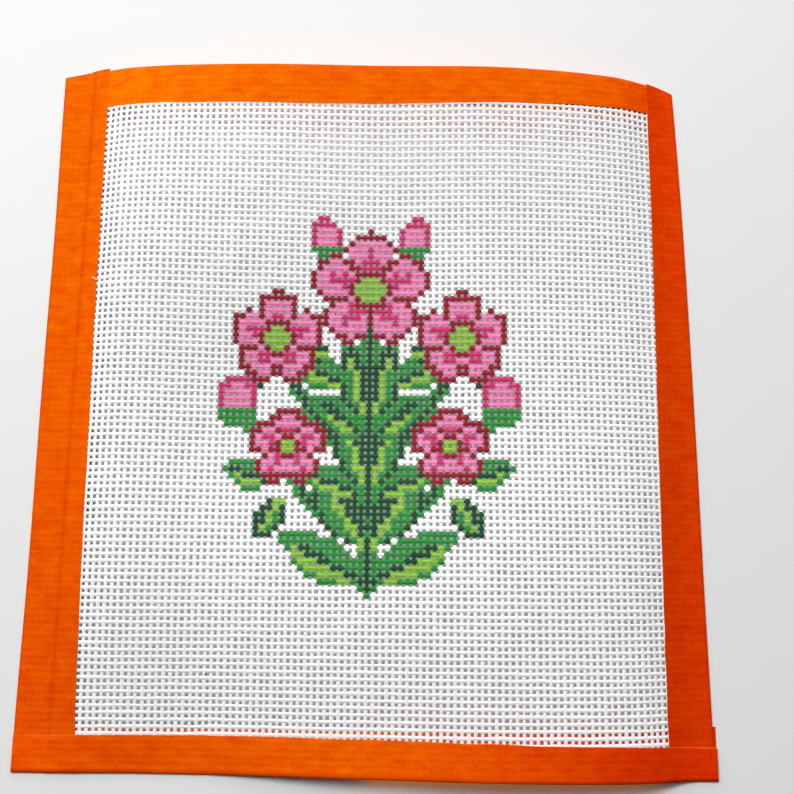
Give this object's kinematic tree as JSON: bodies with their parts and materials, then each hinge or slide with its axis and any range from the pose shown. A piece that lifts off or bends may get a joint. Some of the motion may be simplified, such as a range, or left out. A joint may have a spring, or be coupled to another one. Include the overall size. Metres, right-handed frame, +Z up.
{
  "type": "needlepoint canvas panel",
  "caption": "Square panel of painted needlepoint canvas with a floral sprig, its raw edges bound with folded orange cloth tape, lying gently curled.",
  "frame": {"origin": "middle of the panel's box, on the table that it lies on", "axes": "+Z up from the table, +Y towards the panel's top edge, +X towards its right edge"},
  "size_m": [0.2023, 0.2177, 0.015],
  "materials": {
    "canvas": "matte",
    "tape": "matte"
  },
  "bodies": {
    "root": {"canvas": "canvas", "tape_top": "tape", "tape_bottom": "tape", "tape_left": "tape", "tape_right": "tape"}
  },
  "joints": []
}
